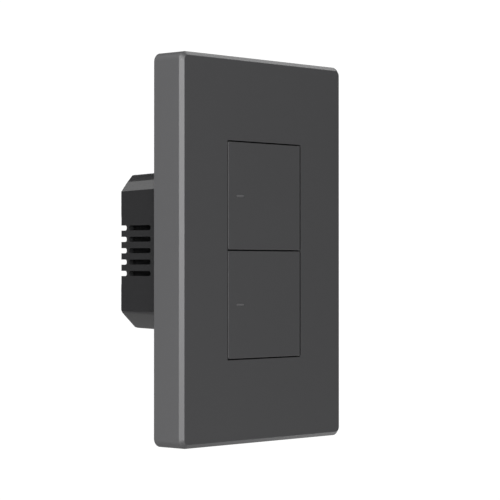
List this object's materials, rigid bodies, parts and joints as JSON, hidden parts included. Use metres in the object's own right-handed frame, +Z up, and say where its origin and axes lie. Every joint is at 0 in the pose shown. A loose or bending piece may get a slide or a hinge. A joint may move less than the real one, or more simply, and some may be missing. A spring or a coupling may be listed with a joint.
{
  "type": "dimmer wall switch",
  "caption": "Wall dimmer switch: tall plate with stacked press keys and pilot marks, steel mounting frame, and a vented module with screw terminals.",
  "frame": {"origin": "middle of the front plate's outline, on the plane of the wall that the plate's back edge rests on", "axes": "+X to the right seen from the room, +Y into the wall, +Z up"},
  "size_m": [0.0746, 0.0393, 0.12],
  "materials": {
    "plate_plastic": "fine matt moulding, dark grey",
    "key_plastic": "fine matt moulding, dark grey",
    "lens_plastic": "smoked light pipe",
    "spring_steel": "drawn wire",
    "switch_plastic": "moulded, black",
    "plunger_plastic": "moulded, cream",
    "led_body": "moulded, white",
    "carrier_plastic": "moulded, dark grey",
    "zinc_steel": "zinc plated, pressed",
    "screw_steel": "zinc plated",
    "black_screw": "black oxide",
    "housing_plastic": "satin moulding, black",
    "circuit_board": "green solder mask",
    "shield_metal": "tinned steel can",
    "connector_plastic": "moulded, black",
    "transformer_parts": "ferrite core on a black bobbin",
    "capacitor_case": "dipped case, brick red",
    "capacitor_sleeve": "shrunk sleeve, dark blue",
    "ferrite": "ferrite and enamelled wire",
    "fuse_body": "glazed tube",
    "varistor_coating": "dipped epoxy, blue",
    "heat_aluminium": "plain sheet",
    "triac_body": "moulded package on a tinned tab",
    "terminal_plastic": "moulded, green",
    "contact_brass": "stamped strip",
    "clamp_brass": "folded box clamp",
    "terminal_steel": "zinc plated, slotted"
  },
  "bodies": {
    "base": {"front_plate": "plate_plastic", "upper_key_spring": "spring_steel", "upper_tact_switch": "switch_plastic", "upper_led": "led_body", "lower_key_spring": "spring_steel", "lower_tact_switch": "switch_plastic", "lower_led": "led_body", "key_frame": "carrier_plastic", "mounting_frame": "zinc_steel", "upper_mounting_screw": "screw_steel", "lower_mounting_screw": "screw_steel", "housing_screw_1": "black_screw", "housing_screw_2": "black_screw", "housing_screw_3": "black_screw", "housing_screw_4": "black_screw", "rear_housing": "housing_plastic", "logic_board": "circuit_board", "radio_module": "shield_metal", "header_plug": "connector_plastic", "header_socket": "connector_plastic", "power_board": "circuit_board", "transformer": "transformer_parts", "film_capacitor": "capacitor_case", "electrolytic_capacitor": "capacitor_sleeve", "choke": "ferrite", "fuse": "fuse_body", "varistor": "varistor_coating", "heat_plate": "heat_aluminium", "upper_triac": "triac_body", "lower_triac": "triac_body", "terminal_block": "terminal_plastic", "terminal_contact_1": "contact_brass", "terminal_contact_2": "contact_brass", "terminal_contact_3": "contact_brass", "terminal_contact_4": "contact_brass"},
    "upper_key_body": {"upper_key": "key_plastic", "upper_indicator_lens": "lens_plastic"},
    "lower_key_body": {"lower_key": "key_plastic", "lower_indicator_lens": "lens_plastic"},
    "upper_plunger_body": {"upper_plunger": "plunger_plastic"},
    "lower_plunger_body": {"lower_plunger": "plunger_plastic"},
    "terminal_screw_body_1": {"terminal_screw_1": "terminal_steel"},
    "wire_clamp_body_1": {"wire_clamp_1": "clamp_brass"},
    "terminal_screw_body_2": {"terminal_screw_2": "terminal_steel"},
    "wire_clamp_body_2": {"wire_clamp_2": "clamp_brass"},
    "terminal_screw_body_3": {"terminal_screw_3": "terminal_steel"},
    "wire_clamp_body_3": {"wire_clamp_3": "clamp_brass"},
    "terminal_screw_body_4": {"terminal_screw_4": "terminal_steel"},
    "wire_clamp_body_4": {"wire_clamp_4": "clamp_brass"}
  },
  "joints": [
    {"name": "upper_key_press", "type": "hinge", "parent": "base", "child": "upper_key_body", "pos_m": [0.0138, -0.0086, 0.01685], "axis": [0, 0, -1], "range_deg": [0, 2], "stiffness_Nm_per_rad": 0.22, "springref_deg": -3.15, "deforming": ["upper_key_spring"]},
    {"name": "upper_plunger_travel", "type": "slide", "parent": "base", "child": "upper_plunger_body", "axis": [0, 1, 0], "range_m": [0, 0.0005]},
    {"name": "lower_key_press", "type": "hinge", "parent": "base", "child": "lower_key_body", "pos_m": [0.0138, -0.0086, -0.01685], "axis": [0, 0, -1], "range_deg": [0, 2], "stiffness_Nm_per_rad": 0.22, "springref_deg": -3.15, "deforming": ["lower_key_spring"]},
    {"name": "lower_plunger_travel", "type": "slide", "parent": "base", "child": "lower_plunger_body", "axis": [0, 1, 0], "range_m": [0, 0.0005]},
    {"name": "terminal_screw_turn_1", "type": "hinge", "parent": "base", "child": "terminal_screw_body_1", "pos_m": [-0.0135, 0.022, -0.0164], "axis": [0, 1, 0], "range_deg": [0, 1080]},
    {"name": "wire_clamp_lift_1", "type": "slide", "parent": "base", "child": "wire_clamp_body_1", "axis": [0, 1, 0], "range_m": [0, 0.0018]},
    {"name": "terminal_screw_turn_2", "type": "hinge", "parent": "base", "child": "terminal_screw_body_2", "pos_m": [-0.0045, 0.022, -0.0164], "axis": [0, 1, 0], "range_deg": [0, 1080]},
    {"name": "wire_clamp_lift_2", "type": "slide", "parent": "base", "child": "wire_clamp_body_2", "axis": [0, 1, 0], "range_m": [0, 0.0018]},
    {"name": "terminal_screw_turn_3", "type": "hinge", "parent": "base", "child": "terminal_screw_body_3", "pos_m": [0.0045, 0.022, -0.0164], "axis": [0, 1, 0], "range_deg": [0, 1080]},
    {"name": "wire_clamp_lift_3", "type": "slide", "parent": "base", "child": "wire_clamp_body_3", "axis": [0, 1, 0], "range_m": [0, 0.0018]},
    {"name": "terminal_screw_turn_4", "type": "hinge", "parent": "base", "child": "terminal_screw_body_4", "pos_m": [0.0135, 0.022, -0.0164], "axis": [0, 1, 0], "range_deg": [0, 1080]},
    {"name": "wire_clamp_lift_4", "type": "slide", "parent": "base", "child": "wire_clamp_body_4", "axis": [0, 1, 0], "range_m": [0, 0.0018]}
  ],
  "couplings": [
    {"joint": "upper_plunger_travel", "follows": "upper_key_press", "m_per_rad": 0.0138},
    {"joint": "lower_plunger_travel", "follows": "lower_key_press", "m_per_rad": 0.0138},
    {"joint": "terminal_screw_turn_1", "follows": "wire_clamp_lift_1", "rad_per_m": 10472},
    {"joint": "terminal_screw_turn_2", "follows": "wire_clamp_lift_2", "rad_per_m": 10472},
    {"joint": "terminal_screw_turn_3", "follows": "wire_clamp_lift_3", "rad_per_m": 10472},
    {"joint": "terminal_screw_turn_4", "follows": "wire_clamp_lift_4", "rad_per_m": 10472}
  ]
}
